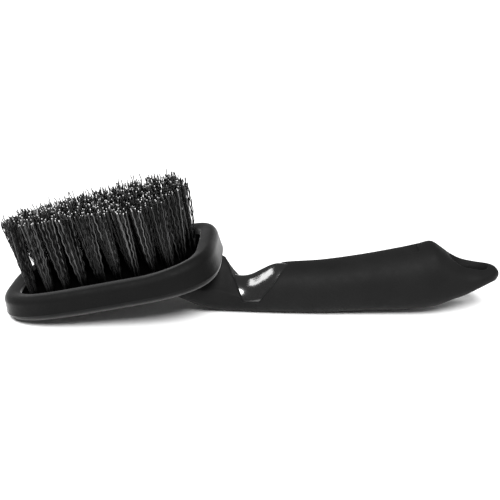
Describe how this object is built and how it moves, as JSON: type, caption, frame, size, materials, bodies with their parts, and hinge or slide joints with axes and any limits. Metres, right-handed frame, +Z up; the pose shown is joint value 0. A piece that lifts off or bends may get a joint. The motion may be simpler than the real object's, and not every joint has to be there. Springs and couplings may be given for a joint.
{
  "type": "wheel brush",
  "caption": "Black wheel-cleaning brush with an oval head of trimmed crimped bristle tufts, a soft bumper, a glossy neck and a soft-grip handle with an oblong hanging hole.",
  "frame": {"origin": "centre of the overall box, on the floor that the brush lies on, with its tufts up", "axes": "+X from the toe of the head to the tail of the handle, +Z up through the tufts, +Y across the brush"},
  "size_m": [0.2482, 0.0702, 0.0662],
  "materials": {
    "core_gloss": "polished black polypropylene",
    "soft_bumper": "fine-textured matte black elastomer",
    "soft_grip": "soft-touch matte black elastomer",
    "filament": "satin black crimped filament",
    "staple_steel": "bare flat wire"
  },
  "bodies": {
    "root": {"handle_core": "core_gloss", "head_bumper": "soft_bumper", "grip_overmould": "soft_grip", "tuft_staples": "staple_steel", "tuft_01": "filament", "tuft_02": "filament", "tuft_03": "filament", "tuft_04": "filament", "tuft_05": "filament", "tuft_06": "filament", "tuft_07": "filament", "tuft_08": "filament", "tuft_09": "filament", "tuft_10": "filament", "tuft_11": "filament", "tuft_12": "filament", "tuft_13": "filament", "tuft_14": "filament", "tuft_15": "filament", "tuft_16": "filament", "tuft_17": "filament", "tuft_18": "filament", "tuft_19": "filament", "tuft_20": "filament", "tuft_21": "filament", "tuft_22": "filament", "tuft_23": "filament", "tuft_24": "filament", "tuft_25": "filament", "tuft_26": "filament", "tuft_27": "filament", "tuft_28": "filament", "tuft_29": "filament", "tuft_30": "filament", "tuft_31": "filament", "tuft_32": "filament", "tuft_33": "filament", "tuft_34": "filament", "tuft_35": "filament", "tuft_36": "filament", "tuft_37": "filament", "tuft_38": "filament", "tuft_39": "filament", "tuft_40": "filament", "tuft_41": "filament", "tuft_42": "filament", "tuft_43": "filament", "tuft_44": "filament", "tuft_45": "filament", "tuft_46": "filament", "tuft_47": "filament", "tuft_48": "filament", "tuft_49": "filament"}
  },
  "joints": []
}
